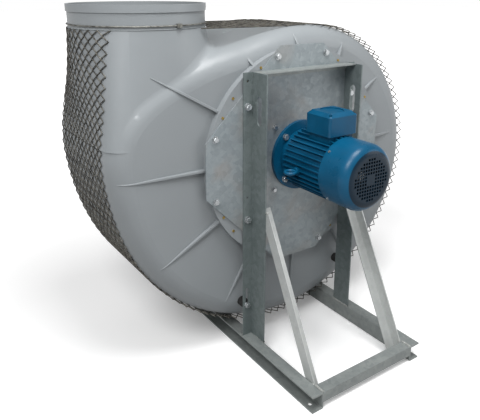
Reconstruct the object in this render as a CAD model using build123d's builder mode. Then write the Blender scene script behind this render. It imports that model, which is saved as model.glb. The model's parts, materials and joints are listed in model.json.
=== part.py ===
from build123d import *
from math import atan2, cos, degrees, hypot, radians, sin, sqrt, tan
import os

# Centrifugal duct fan with a moulded plastic scroll casing, a galvanised steel stand and a flange motor.
# Millimetres, +Z up. X runs along the front of the stand, +Y points from the motor to the air inlet.
# The origin lies on the floor, at the centre of the four floor fixing holes.

# Stand
base_length = 900.0
base_half_width = 250.0
rail_height = 60.0
rail_web_inner = 205.0
rail_wall = 5.0
rail_bend_radius = 6.0
floor_hole_radius = 7.0
floor_hole_inset = 35.0
cross_member_depth = 40.0
cross_member_drop = 36.0
cross_member_wall = 4.0
plate_setback = 393.0
post_top = 1020.0
post_front_flange = 80.0
post_side_flange = 40.0
post_wall = 5.0
top_member_depth = 50.0
top_member_lip = 22.0
brace_width = 40.0
brace_wall = 4.0
brace_angle = 27.2
brace_foot_setback = 347.0
brace_top = 558.0
brace_floor_gap = 5.0

# Post holes, as heights over the floor and distances from the post's corner
post_bolt_heights = (908.0, 513.0)
post_spare_heights = (992.0, 595.0)
post_hole_inset = 24.0
post_bolt_radius = 6.0
post_spare_radius = 4.0
side_slot_top = 945.0
side_slot_length = 96.0
side_slot_width = 25.0
side_slot_setback = 42.0
buffer_slot_top = 250.0
buffer_slot_length = 78.0
buffer_slot_width = 12.0

# Mounting plate and the closing disc behind it
axis_height = 710.0
plate_half_width = 387.0
plate_half_flat = 94.0
plate_thickness = 5.0
plate_bolt_far = 352.0
plate_bolt_near = 106.0
plate_bolt_radius = 5.0
inner_bolt_offset = 113.0
disc_radius = 380.0
disc_thickness = 10.0
ring_hole_step = 11.25
ring_screw_radius = 362.0
ring_screw_hole = 2.5
backing_plate_radius = 178.0
backing_plate_wall = 5.0

# Casing
casing_setback = 32.0
casing_depth = 506.0
casing_wall = 8.0
casing_edge_radius = 72.0
collar_inner_radius = 342.0
collar_lip = 2.0
collar_hole_depth = 12.0
scroll_radii = {112: 436.0, 90: 437.0, 60: 486.0, 30: 542.0, 0: 597.0, -30: 624.0, -60: 638.0,
                -90: 648.0, -120: 657.0, -150: 670.0, -180: 688.0, -186: 695.0, -196: 677.0,
                -206: 619.0, -219: 537.0, -232: 477.0}
rib_ends = {0: 505.0, 30: 471.0, 60: 440.0, 90: 418.0, 120: 403.0, 150: 623.0, 180: 667.0,
            210: 626.0, 240: 592.0, 270: 563.0, 300: 545.0, 330: 525.0}
rib_width = 8.0
rib_root = 4.0
rib_step = 3.0
outlet_radius = 222.0
outlet_x = -470.0
neck_low = 100.0
neck_high = 450.0
outlet_top = 1232.0
lip_height = 23.0
lip_wall = 3.0
spigot_wall = 6.0
saddle_radius = 34.0
saddle_low = 190.0

# Guard mesh and its tie
guard_wall = 5.0
guard_gap = 0.5
guard_front = 100.0
guard_top = 1158.0
guard_reach = 640.0
guard_meeting_angle = 88.0
bridge_start_x = -348.0
cable_radius = 2.5
cable_height = 1170.0
clamp_angle = -81.0

# Rubber buffers
buffer_radius = 17.0
buffer_left_height = 182.0
buffer_right_height = 226.0
casing_gap = 0.2

# Inlet
inlet_radius = 225.0
inlet_spigot_length = 60.0
inlet_flange_radius = 262.0
inlet_flange_wall = 8.0
inlet_wall = 6.0
cone_throat_radius = 194.0
inlet_screw_count = 12
inlet_screw_radius = 250.0
inlet_screw_hole = 3.0
eye_lap = 8.0

# Impeller
impeller_radius = 315.0
back_disc_setback = 64.0
back_disc_wall = 8.0
hub_radius = 62.0
hub_length = 38.0
blade_count = 10
blade_wall = 6.0
blade_inner_radius = 175.0
blade_eye_width = 176.0
blade_tip_width = 118.0
shroud_wall = 6.0
eye_radius = 200.0
eye_collar = 18.0
blade_lean = 42.0
blade_bow = 0.62

# Shaft and seal
shaft_radius = 14.0
shaft_end = 66.0
running_gap = 0.05
seal_radius = 48.0
key_width = 8.0
key_height = 7.0
key_length = 40.0
hub_bolt_radius = 5.0
hub_bolt_depth = 20.0

# Motor
flange_radius = 125.0
flange_wall = 12.0
pilot_radius = 90.0
pilot_length = 4.0
flange_bolt_circle = 107.5
flange_bolt_radius = 6.0
shield_radius = 94.0
spigot_lap = 6.0
bearing_front_start = 20.0
frame_start = 40.0
frame_end = 228.0
frame_radius = 98.0
frame_bore = 88.0
fin_count = 36
fin_height = 12.0
fin_wall = 3.4
fin_gap = 1.0
eyebolt_distance = 113.0
eyebolt_drop = 13.0
eyebolt_boss = 14.0
eyebolt_ring = 17.5
eyebolt_wire = 5.5
cowl_radius = 110.0
cowl_start = 222.0
cowl_end = 341.0
cowl_wall = 2.5
cowl_shoulder = 36.0
grille_radius = 74.0
grille_pitch = 11.0
grille_hole = 7.6
grille_boss_radius = 15.0
box_half_width = 60.0
box_start = 97.0
box_end = 213.0
box_seat = 114.0
box_seam = 134.0
box_top = 188.0
box_wall = 5.0
box_corner = 8.0
lid_bevel = 12.0
lid_recess = 3.0
lid_pillar = 6.0
lid_screw_radius = 2.5
bearing_radius = 32.0
bearing_width = 16.0
bearing_rear_start = 212.0
rear_wall = 12.0
stator_bore = 58.0
stator_start = 66.0
stator_end = 190.0
winding_reach = 15.0
air_gap = 0.6
fan_start = 262.0
fan_end = 300.0
fan_hub_radius = 26.0
fan_radius = 90.0
fan_blade_count = 8

# Derived places
plate_y = plate_setback - base_length / 2
casing_front = -casing_setback
casing_back = -casing_setback - casing_depth
casing_middle = -casing_setback - casing_depth / 2
shaft_axis = Axis((0, plate_y, axis_height), (0, -1, 0))
eye_face = -back_disc_setback - back_disc_wall - blade_eye_width - eye_collar
axial = Plane(origin=(0, plate_y, axis_height), x_dir=(0, -1, 0), z_dir=(-1, 0, 0))

os.makedirs("parts", exist_ok=True)


def facing(front):
    """A plane square to the shaft, looking at the motor side, this far ahead of the mounting plate."""
    return Plane(origin=(0, plate_y - front, axis_height), x_dir=(1, 0, 0), z_dir=(0, -1, 0))


def level(height):
    """A level plane at this height, over the outlet's middle line."""
    return Plane(origin=(outlet_x, plate_y - casing_middle, height))


def polar(radius, angle):
    return (radius * cos(radians(angle)), radius * sin(radians(angle)))


def turned(*points, mode=Mode.ADD):
    """Turns an outline of (distance ahead of the plate, radius) about the shaft."""
    with BuildSketch(axial) as profile:
        with BuildLine():
            Polyline(*points, close=True)
        make_face()
    return revolve(profile.sketch, axis=shaft_axis, mode=mode)


def drum(start, end, radius, mode=Mode.ADD):
    """A round disc or drum on the shaft between two distances ahead of the plate."""
    with BuildSketch(facing(start)) as disc:
        Circle(radius)
    return extrude(disc.sketch, amount=end - start, mode=mode)


def bolts_at(front, places, across, head, washer, washer_wall, shank, depth):
    """Hexagon heads with washers on a face ahead of the plate, each with its plain shank behind."""
    with BuildSketch(facing(front)) as washers:
        with Locations(*places):
            Circle(washer)
    extrude(washers.sketch, amount=washer_wall)
    with BuildSketch(facing(front + washer_wall)) as heads:
        with Locations(*places):
            RegularPolygon(across / 2, 6, major_radius=False)
    extrude(heads.sketch, amount=head)
    with BuildSketch(facing(front)) as shanks:
        with Locations(*places):
            Circle(shank)
    extrude(shanks.sketch, amount=-depth)


def save(piece, name):
    piece.part.label = name
    export_step(piece.part, "parts/" + name + ".step")


# Rails: bent channels, open outwards, with a fixing hole near each end of the lower flange
floor_hole_x = base_half_width - (base_half_width - rail_web_inner - rail_wall) / 2
floor_hole_y = base_length / 2 - floor_hole_inset
for side, name in ((-1, "rail_left"), (1, "rail_right")):
    with BuildPart() as rail:
        with BuildSketch(Plane.XZ.offset(base_length / 2)) as section:
            with BuildLine():
                inner = rail_web_inner
                outer = base_half_width
                FilletPolyline(
                    (side * outer, 0), (side * inner, 0), (side * inner, rail_height),
                    (side * outer, rail_height), radius=rail_bend_radius)
                Line((side * outer, rail_height), (side * outer, rail_height - rail_wall))
                FilletPolyline(
                    (side * outer, rail_height - rail_wall),
                    (side * (inner + rail_wall), rail_height - rail_wall),
                    (side * (inner + rail_wall), rail_wall),
                    (side * outer, rail_wall), radius=rail_bend_radius - rail_wall)
                Line((side * outer, rail_wall), (side * outer, 0))
            make_face()
        extrude(amount=-base_length)
        with Locations((side * floor_hole_x, floor_hole_y, rail_wall),
                       (side * floor_hole_x, -floor_hole_y, rail_wall)):
            Hole(floor_hole_radius, depth=rail_wall)
    save(rail, name)

# Front cross member: an angle between the rails, flush with their tops
base_front = -base_length / 2
with BuildPart() as cross_member_front:
    with BuildSketch(Plane.YZ.offset(-rail_web_inner)) as section:
        with BuildLine():
            Polyline(
                (base_front, rail_height), (base_front + cross_member_depth, rail_height),
                (base_front + cross_member_depth, rail_height - cross_member_wall),
                (base_front + cross_member_wall, rail_height - cross_member_wall),
                (base_front + cross_member_wall, rail_height - cross_member_drop),
                (base_front, rail_height - cross_member_drop), close=True)
        make_face()
    extrude(amount=2 * rail_web_inner)
save(cross_member_front, "cross_member_front")

# Rear cross member: the same angle, set low between the rails so that it passes under the casing
with BuildPart() as cross_member_rear:
    with BuildSketch(Plane.YZ.offset(-rail_web_inner)) as section:
        with BuildLine():
            Polyline(
                (-base_front, 0), (-base_front - cross_member_depth, 0),
                (-base_front - cross_member_depth, cross_member_wall),
                (-base_front - cross_member_wall, cross_member_wall),
                (-base_front - cross_member_wall, cross_member_drop),
                (-base_front, cross_member_drop), close=True)
        make_face()
    extrude(amount=2 * rail_web_inner)
save(cross_member_rear, "cross_member_rear")

# Posts: slotted angles that stand on the rails and carry the mounting plate
post_hole_x = rail_web_inner + post_hole_inset
for side, name in ((-1, "post_left"), (1, "post_right")):
    with BuildPart() as post:
        with BuildSketch(Plane.XY.offset(rail_height)) as section:
            with BuildLine():
                corner = side * rail_web_inner
                Polyline(
                    (corner, plate_y), (corner + side * post_side_flange, plate_y),
                    (corner + side * post_side_flange, plate_y - post_wall),
                    (corner + side * post_wall, plate_y - post_wall),
                    (corner + side * post_wall, plate_y - post_front_flange),
                    (corner, plate_y - post_front_flange), close=True)
            make_face()
        extrude(amount=post_top - rail_height)
        with BuildSketch(facing(post_wall)) as holes:
            with Locations(*[(side * post_hole_x, h - axis_height) for h in post_bolt_heights]):
                Circle(post_bolt_radius)
            with Locations(*[(side * post_hole_x, h - axis_height) for h in post_spare_heights]):
                Circle(post_spare_radius)
            slot_middle = buffer_slot_top - buffer_slot_length / 2 - axis_height
            with Locations((side * post_hole_x, slot_middle)):
                SlotOverall(buffer_slot_length, buffer_slot_width, rotation=90)
        extrude(amount=-post_wall, mode=Mode.SUBTRACT)
        with BuildSketch(Plane.YZ.offset(side * rail_web_inner)) as side_slot:
            with Locations((plate_y - side_slot_setback, side_slot_top - side_slot_length / 2)):
                SlotOverall(side_slot_length, side_slot_width, rotation=90)
        extrude(amount=side * post_wall, mode=Mode.SUBTRACT)
    save(post, name)

# Top cross member: an angle between the posts, its upper flange pointing forwards
with BuildPart() as cross_member_top:
    with BuildSketch(Plane.YZ.offset(-rail_web_inner)) as section:
        with BuildLine():
            Polyline(
                (plate_y, post_top), (plate_y - top_member_depth, post_top),
                (plate_y - top_member_depth, post_top - cross_member_wall),
                (plate_y - cross_member_wall, post_top - cross_member_wall),
                (plate_y - cross_member_wall, post_top - top_member_lip),
                (plate_y, post_top - top_member_lip), close=True)
        make_face()
    extrude(amount=2 * rail_web_inner)
save(cross_member_top, "cross_member_top")

# Braces: angles that run from the posts down to the front corners, inside the rails
brace_slope = tan(radians(brace_angle))
brace_level_width = brace_width / cos(radians(brace_angle))
brace_level_wall = brace_wall / cos(radians(brace_angle))


def brace_front(height):
    """Where the brace's front edge stands at this height."""
    return plate_y - brace_foot_setback + (height - rail_height) * brace_slope


for side, name in ((-1, "brace_left"), (1, "brace_right")):
    with BuildPart() as brace:
        for depth, wall in ((brace_level_width, brace_wall), (brace_level_wall, brace_width)):
            shift = brace_level_width - depth
            with BuildSketch(Plane.YZ.offset(side * rail_web_inner)) as outline:
                with BuildLine():
                    Polyline(
                        (brace_front(brace_floor_gap) + shift, brace_floor_gap),
                        (brace_front(brace_floor_gap) + shift + depth, brace_floor_gap),
                        (brace_front(brace_top) + shift + depth, brace_top),
                        (brace_front(brace_top) + shift, brace_top), close=True)
                make_face()
            extrude(outline.sketch, amount=-side * wall)
    save(brace, name)

# Mounting plate: galvanised sheet with eight sides, bored for the motor's pilot
plate_bolt_places = []
for a, b in ((plate_bolt_far, plate_bolt_near), (plate_bolt_near, plate_bolt_far)):
    plate_bolt_places += [(a, b), (a, -b), (-a, b), (-a, -b)]
inner_bolt_places = [(i * inner_bolt_offset, j * inner_bolt_offset) for i in (-1, 1) for j in (-1, 1)]
motor_bolt_places = [polar(flange_bolt_circle, 45 + 90 * k) for k in range(4)]
post_bolt_places = [(side * post_hole_x, h - axis_height) for side in (-1, 1) for h in post_bolt_heights]
flat, wide = plate_half_flat, plate_half_width
plate_corners = [(-wide, -flat), (-flat, -wide), (flat, -wide), (wide, -flat),
                 (wide, flat), (flat, wide), (-flat, wide), (-wide, flat)]
with BuildPart() as mounting_plate:
    with BuildSketch(facing(0)) as outline:
        with BuildLine():
            Polyline(*plate_corners, close=True)
        make_face()
        Circle(pilot_radius + 0.1, mode=Mode.SUBTRACT)
        with Locations(*plate_bolt_places, *inner_bolt_places):
            Circle(plate_bolt_radius, mode=Mode.SUBTRACT)
        with Locations(*motor_bolt_places, *post_bolt_places):
            Circle(flange_bolt_radius, mode=Mode.SUBTRACT)
    extrude(amount=-plate_thickness)
save(mounting_plate, "mounting_plate")

# Closing disc: a plastic disc that closes the casing's drive side and holds the shaft seal
disc_back = -plate_thickness - disc_thickness
ring_angles = [(k + 0.5) * ring_hole_step for k in range(32)]
chamfer_angles = [a for a in ring_angles if 22 < a % 90 < 68]
ring_screw_places = [polar(ring_screw_radius, a) for a in chamfer_angles]
with BuildPart() as closing_disc:
    with BuildSketch(facing(-plate_thickness)) as outline:
        Circle(disc_radius)
        Circle(seal_radius - 12, mode=Mode.SUBTRACT)
        with Locations(*plate_bolt_places, *inner_bolt_places):
            Circle(plate_bolt_radius, mode=Mode.SUBTRACT)
        with Locations(*motor_bolt_places, *post_bolt_places):
            Circle(flange_bolt_radius, mode=Mode.SUBTRACT)
        with Locations(*ring_screw_places):
            Circle(ring_screw_hole, mode=Mode.SUBTRACT)
    extrude(amount=-disc_thickness)
save(closing_disc, "closing_disc")

# Backing plate: clamps the middle of the closing disc to the mounting plate, round the shaft seal
with BuildPart() as backing_plate:
    with BuildSketch(facing(disc_back)) as outline:
        Circle(backing_plate_radius)
        Circle(seal_radius, mode=Mode.SUBTRACT)
        with Locations(*inner_bolt_places):
            Circle(plate_bolt_radius, mode=Mode.SUBTRACT)
        with Locations(*motor_bolt_places):
            Circle(flange_bolt_radius, mode=Mode.SUBTRACT)
    extrude(amount=-backing_plate_wall)
save(backing_plate, "backing_plate")

# Shaft seal: a felt ring in the closing disc that runs on the shaft
with BuildPart() as shaft_seal:
    turned((-plate_thickness, shaft_radius + running_gap), (-plate_thickness, seal_radius - 12),
           (disc_back, seal_radius - 12), (disc_back, seal_radius),
           (disc_back - backing_plate_wall, seal_radius),
           (disc_back - backing_plate_wall, shaft_radius + running_gap))
save(shaft_seal, "shaft_seal")


def casing_volume(inset):
    """The casing's outer form drawn in by a wall: a rounded scroll with a neck that turns round."""
    half_width = outlet_radius - inset
    depth = casing_depth - 2 * inset
    edge = casing_edge_radius - inset
    with BuildPart() as volume:
        with BuildSketch(facing(casing_front - inset)) as outline:
            with BuildLine():
                Spline(*[polar(r - inset, a) for a, r in scroll_radii.items()], periodic=True)
            make_face()
        extrude(amount=-depth)
        rims = volume.faces().filter_by(Axis.Y).edges()
        fillet(rims, edge)
        with BuildSketch(level(axis_height + neck_low)) as neck_root:
            RectangleRounded(2 * half_width - 1, depth - 2, edge)
        with BuildSketch(level(axis_height + neck_high)) as neck_mouth:
            Circle(half_width)
        loft([neck_root.sketch.face(), neck_mouth.sketch.face()])
        saddle = volume.edges().filter_by(
            lambda e: e.bounding_box().min.Z > axis_height + saddle_low
            and e.bounding_box().max.Z < axis_height + neck_high - 10
            and e.bounding_box().max.X < outlet_x + outlet_radius + 10)
        fillet(saddle, saddle_radius + inset)
    return volume


# Casing: a hollow plastic scroll in two halves, welded on the middle plane, with ribs on the drive side
collar_radius = disc_radius - collar_lip
with BuildPart() as casing_shell:
    add(casing_volume(0).part)
    for angle, end in rib_ends.items():
        radial = Plane(
            origin=(0, plate_y, axis_height),
            x_dir=(cos(radians(angle)), 0, sin(radians(angle))),
            z_dir=(sin(radians(angle)), 0, -cos(radians(angle))))
        outline_radius = scroll_radii[angle] if angle in scroll_radii else scroll_radii.get(angle - 360, end)
        rounding = max(0, end - outline_radius + casing_edge_radius)
        drop = casing_edge_radius - sqrt(max(0, casing_edge_radius ** 2 - rounding ** 2))
        with BuildSketch(radial) as rib:
            with BuildLine():
                root = collar_radius - rib_root
                Polyline((root, casing_front - casing_wall), (root, disc_back - rib_step),
                         (end, casing_front - drop), (end, casing_front - drop - casing_wall), close=True)
            make_face()
        extrude(rib.sketch, amount=rib_width / 2, both=True)
    drum(disc_back, casing_front - casing_wall, collar_radius)
    add(casing_volume(casing_wall).part, mode=Mode.SUBTRACT)
    drum(disc_back, casing_front - casing_wall - 1, collar_inner_radius, mode=Mode.SUBTRACT)
    drum(casing_back + casing_wall + 1, casing_back - 1, inlet_radius, mode=Mode.SUBTRACT)
    with BuildSketch(level(axis_height + neck_high - 1)) as mouth:
        Circle(outlet_radius - casing_wall)
    extrude(mouth.sketch, amount=2, mode=Mode.SUBTRACT)
    with BuildSketch(facing(disc_back)) as collar_holes:
        with Locations(*plate_bolt_places):
            Circle(plate_bolt_radius)
        with Locations(*ring_screw_places):
            Circle(ring_screw_hole)
    extrude(collar_holes.sketch, amount=-collar_hole_depth, mode=Mode.SUBTRACT)
    with BuildSketch(facing(casing_back)) as inlet_holes:
        with PolarLocations(inlet_screw_radius, inlet_screw_count):
            Circle(inlet_screw_hole)
    extrude(inlet_holes.sketch, amount=casing_wall, mode=Mode.SUBTRACT)

middle_plane = facing(casing_middle)
with BuildPart() as casing_drive_half:
    add(casing_shell.part)
    split(bisect_by=middle_plane, keep=Keep.TOP)
save(casing_drive_half, "casing_drive_half")

with BuildPart() as casing_inlet_half:
    add(casing_shell.part)
    split(bisect_by=middle_plane, keep=Keep.BOTTOM)
save(casing_inlet_half, "casing_inlet_half")

# Outlet spigot: a round tube with a thicker lip, welded on the neck
neck_top = axis_height + neck_high
with BuildPart() as outlet_spigot:
    with BuildSketch(level(neck_top)) as tube:
        Circle(outlet_radius)
        Circle(outlet_radius - spigot_wall, mode=Mode.SUBTRACT)
    extrude(amount=outlet_top - neck_top)
    with BuildSketch(level(outlet_top - lip_height)) as lip:
        Circle(outlet_radius + lip_wall)
        Circle(outlet_radius - spigot_wall, mode=Mode.SUBTRACT)
    extrude(amount=lip_height)
save(outlet_spigot, "outlet_spigot")

# Inlet: a spigot with a flange on the casing's back and a cone that leads into the impeller's eye
cone_end = eye_face + eye_lap
with BuildPart() as inlet_cone:
    turned((casing_back, inlet_flange_radius), (casing_back - inlet_flange_wall, inlet_flange_radius),
           (casing_back - inlet_flange_wall, inlet_radius),
           (casing_back - inlet_spigot_length, inlet_radius),
           (casing_back - inlet_spigot_length, inlet_radius - inlet_wall),
           (casing_back, inlet_radius - inlet_wall),
           (cone_end, cone_throat_radius - inlet_wall), (cone_end, cone_throat_radius),
           (casing_back + casing_wall, inlet_radius - 0.5), (casing_back, inlet_radius - 0.5))
    with BuildSketch(facing(casing_back)) as inlet_holes:
        with PolarLocations(inlet_screw_radius, inlet_screw_count):
            Circle(inlet_screw_hole)
    extrude(inlet_holes.sketch, amount=-inlet_flange_wall, mode=Mode.SUBTRACT)
save(inlet_cone, "inlet_cone")

with BuildPart() as inlet_screws:
    with BuildSketch(facing(casing_back - inlet_flange_wall)) as heads:
        with PolarLocations(inlet_screw_radius, inlet_screw_count):
            Circle(2 * inlet_screw_hole)
    extrude(heads.sketch, amount=-4)
    with BuildSketch(facing(casing_back - inlet_flange_wall)) as shanks:
        with PolarLocations(inlet_screw_radius, inlet_screw_count):
            Circle(inlet_screw_hole)
    extrude(shanks.sketch, amount=inlet_flange_wall + casing_wall)
save(inlet_screws, "inlet_screws")

# Guard mesh: the chain link around the scroll and the neck's outer side, as a plain band
guard_inner = casing_volume(-guard_gap)
guard_front_y = plate_y + guard_front
guard_back_y = plate_y + casing_setback + casing_depth - (guard_front - casing_setback)
with BuildPart() as guard_mesh:
    add(casing_volume(-guard_gap - guard_wall).part)
    add(guard_inner.part, mode=Mode.SUBTRACT)
    meeting_x = scroll_radii[90] * cos(radians(guard_meeting_angle))
    with Locations((0, (guard_front_y + guard_back_y) / 2, guard_top / 2)):
        Box(4 * casing_depth, guard_back_y - guard_front_y, guard_top, mode=Mode.INTERSECT)
    with BuildSketch(Plane.XY.offset(axis_height + neck_low)) as cleared:
        with Locations(((meeting_x - guard_reach) / 2, (guard_front_y + guard_back_y) / 2)):
            Rectangle(meeting_x + guard_reach, 2 * casing_depth)
    extrude(cleared.sketch, amount=outlet_top, mode=Mode.SUBTRACT)
save(guard_mesh, "guard_mesh")

# Guard bridge: the mesh that spans from the neck's inner side to the top of the scroll
meeting_z = axis_height + scroll_radii[90] * sin(radians(guard_meeting_angle)) + guard_gap
with BuildPart() as guard_bridge:
    with BuildSketch(Plane.XZ.offset(-guard_front_y)) as strip:
        with BuildLine():
            Polyline((meeting_x, meeting_z), (meeting_x, meeting_z + guard_wall),
                     (bridge_start_x, guard_top), (bridge_start_x, guard_top - guard_wall), close=True)
        make_face()
    extrude(amount=guard_front_y - guard_back_y)
    add(guard_inner.part, mode=Mode.SUBTRACT)
    with BuildSketch(level(axis_height + neck_low)) as neck:
        Circle(outlet_radius + guard_gap)
    extrude(neck.sketch, amount=outlet_top, mode=Mode.SUBTRACT)
save(guard_bridge, "guard_bridge")

# Guard cable: the wire rope that ties the mesh round the foot of the outlet spigot
cable_ring = outlet_radius + cable_radius + 0.2
with BuildPart() as guard_cable:
    with Locations((outlet_x, plate_y - casing_middle, cable_height)):
        Torus(cable_ring, cable_radius)
save(guard_cable, "guard_cable")

clamp_x, clamp_y = polar(cable_ring + 2, clamp_angle)
with BuildPart() as cable_clamp:
    with Locations((outlet_x + clamp_x, plate_y - casing_middle + clamp_y, cable_height)):
        Box(16, 8, 12)
    with Locations((outlet_x, plate_y - casing_middle, cable_height)):
        Torus(cable_ring, cable_radius, mode=Mode.SUBTRACT)
    with BuildSketch(level(neck_top)) as tube:
        Circle(outlet_radius + 0.1)
    extrude(tube.sketch, amount=outlet_top - neck_top, mode=Mode.SUBTRACT)
save(cable_clamp, "cable_clamp")

# Rubber buffers between the casing's lower edge and the slots in the posts
casing_clearance = casing_volume(-casing_gap)
buffers = ((-1, buffer_left_height, "buffer_left"), (1, buffer_right_height, "buffer_right"))
for side, height, name in buffers:
    with BuildPart() as buffer:
        with BuildSketch(facing(0)) as pad:
            with Locations((side * post_hole_x, height - axis_height)):
                Circle(buffer_radius)
        extrude(amount=-casing_setback - casing_edge_radius)
        add(casing_clearance.part, mode=Mode.SUBTRACT)
    save(buffer, name)

with BuildPart() as buffer_bolts:
    places = [(side * post_hole_x, height - axis_height) for side, height, name in buffers]
    bolts_at(post_wall, places, 17, 8, 12, 2, buffer_slot_width / 2, post_wall)
save(buffer_bolts, "buffer_bolts")

# Bolts of the mounting plate, the posts and the motor, and the small screws in the disc's rim
with BuildPart() as plate_bolts:
    bolts_at(0, plate_bolt_places, 17, 8, 12, 2.5, plate_bolt_radius,
             plate_thickness + disc_thickness + collar_hole_depth)
save(plate_bolts, "plate_bolts")

with BuildPart() as inner_bolts:
    bolts_at(0, inner_bolt_places, 15, 7, 10, 2, plate_bolt_radius,
             plate_thickness + disc_thickness + backing_plate_wall)
save(inner_bolts, "inner_bolts")

with BuildPart() as post_bolts:
    bolts_at(post_wall, post_bolt_places, 19, 9, 13, 2.5, post_bolt_radius,
             post_wall + plate_thickness + disc_thickness)
save(post_bolts, "post_bolts")

with BuildPart() as motor_bolts:
    bolts_at(flange_wall, motor_bolt_places, 19, 8, 11, 2, flange_bolt_radius,
             flange_wall + plate_thickness + disc_thickness + backing_plate_wall)
save(motor_bolts, "motor_bolts")

with BuildPart() as ring_screws:
    with BuildSketch(facing(-plate_thickness)) as heads:
        with Locations(*ring_screw_places):
            Circle(2 * ring_screw_hole)
    extrude(heads.sketch, amount=2.5)
    with BuildSketch(facing(-plate_thickness)) as shanks:
        with Locations(*ring_screw_places):
            Circle(ring_screw_hole)
    extrude(shanks.sketch, amount=-disc_thickness - collar_hole_depth)
save(ring_screws, "ring_screws")

# Impeller: hub, back disc, curved blades and front shroud with its eye collar
disc_face = -back_disc_setback
blade_start = disc_face - back_disc_wall
with BuildPart() as impeller_hub:
    turned((disc_face + hub_length, shaft_radius), (disc_face + hub_length, hub_radius - 18),
           (disc_face, hub_radius), (blade_start, hub_radius), (blade_start, shaft_radius))
    with BuildSketch(facing(disc_face + hub_length)) as keyway:
        with Locations((0, shaft_radius)):
            Rectangle(key_width, key_height)
    extrude(keyway.sketch, amount=-hub_length - back_disc_wall, mode=Mode.SUBTRACT)
save(impeller_hub, "impeller_hub")

with BuildPart() as back_disc:
    turned((disc_face, hub_radius), (disc_face, impeller_radius),
           (blade_start, impeller_radius), (blade_start, hub_radius))
save(back_disc, "back_disc")

with BuildPart() as impeller_blades:
    bow = (blade_inner_radius + impeller_radius) / 2
    with BuildSketch() as blade_plan:
        with BuildLine():
            middle_line = ThreePointArc(
                polar(blade_inner_radius, 0), polar(bow, blade_lean * blade_bow),
                polar(impeller_radius - blade_wall / 2, blade_lean))
            offset(middle_line, amount=blade_wall / 2, side=Side.BOTH)
        make_face()
    with BuildSketch(facing(blade_start)) as blade_ring:
        with PolarLocations(0, blade_count):
            add(blade_plan.sketch)
    extrude(blade_ring.sketch, amount=-blade_eye_width)
    turned((blade_start - blade_eye_width - 1, 0), (blade_start - blade_eye_width, eye_radius),
           (blade_start - blade_tip_width, impeller_radius),
           (blade_start - blade_tip_width, impeller_radius + 20),
           (blade_start - blade_eye_width - 1, impeller_radius + 20), mode=Mode.SUBTRACT)
save(impeller_blades, "impeller_blades")

with BuildPart() as impeller_shroud:
    eye, tip = blade_start - blade_eye_width, blade_start - blade_tip_width
    turned((tip, impeller_radius), (eye, eye_radius), (eye - eye_collar, eye_radius),
           (eye - eye_collar, eye_radius + shroud_wall), (eye - shroud_wall, eye_radius + shroud_wall),
           (tip - shroud_wall, impeller_radius))
save(impeller_shroud, "impeller_shroud")

# Motor flange: the drive end shield, cast in one with the mounting flange and the pilot
with BuildPart() as motor_flange:
    turned((-pilot_length, shaft_radius + 1), (-pilot_length, pilot_radius), (0, pilot_radius), (0, flange_radius),
           (flange_wall, flange_radius), (flange_wall, shield_radius), (frame_start, frame_radius),
           (frame_start, frame_bore), (frame_start + spigot_lap, frame_bore),
           (frame_start + spigot_lap, frame_bore - 4), (flange_wall + 6, frame_bore - 8),
           (flange_wall + 6, bearing_radius + 10), (bearing_front_start + bearing_width, bearing_radius + 10),
           (bearing_front_start + bearing_width, bearing_radius), (bearing_front_start, bearing_radius),
           (bearing_front_start, shaft_radius + 1))
    with BuildSketch(facing(flange_wall)) as flange_holes:
        with Locations(*motor_bolt_places):
            Circle(flange_bolt_radius)
    extrude(flange_holes.sketch, amount=-flange_wall, mode=Mode.SUBTRACT)
save(motor_flange, "motor_flange")

# Motor frame: a cast tube with cooling fins, a seat for the terminal box and a boss for the eyebolt
box_middle = (box_start + box_end) / 2


def over_motor(height):
    """A level plane at this height over the shaft, above the middle of the terminal box."""
    return Plane(origin=(0, plate_y - box_middle, axis_height + height))


with BuildPart() as motor_frame:
    drum(frame_start, frame_end, frame_radius)
    with BuildSketch(facing(frame_start)) as fins:
        with PolarLocations(frame_radius + fin_height / 2 - 2, fin_count, 360 / fin_count / 2):
            Rectangle(fin_height + 4, fin_wall)
    extrude(fins.sketch, amount=cowl_start - frame_start - fin_gap)
    with BuildSketch(over_motor(frame_bore)) as seat:
        Rectangle(2 * box_half_width - 24, box_end - box_start - 16)
    extrude(seat.sketch, amount=box_seat - frame_bore)
    with BuildSketch(Plane.YZ.offset(-frame_radius - fin_height)) as boss:
        with Locations((plate_y - eyebolt_distance, axis_height - eyebolt_drop)):
            Circle(eyebolt_boss)
    extrude(boss.sketch, amount=fin_height + 4)
    drum(frame_start, frame_end, frame_bore, mode=Mode.SUBTRACT)
save(motor_frame, "motor_frame")

# Eyebolt: a lifting ring screwed into the boss on the frame's left side
with BuildPart() as eyebolt:
    neck_end = -frame_radius - fin_height
    ring_x = neck_end - eyebolt_wire - eyebolt_ring
    with Locations((ring_x, plate_y - eyebolt_distance, axis_height - eyebolt_drop)):
        Torus(eyebolt_ring, eyebolt_wire)
    with BuildSketch(Plane.YZ.offset(neck_end)) as collar:
        with Locations((plate_y - eyebolt_distance, axis_height - eyebolt_drop)):
            Circle(eyebolt_boss - 3)
    extrude(collar.sketch, amount=-eyebolt_wire)
save(eyebolt, "eyebolt")

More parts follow.
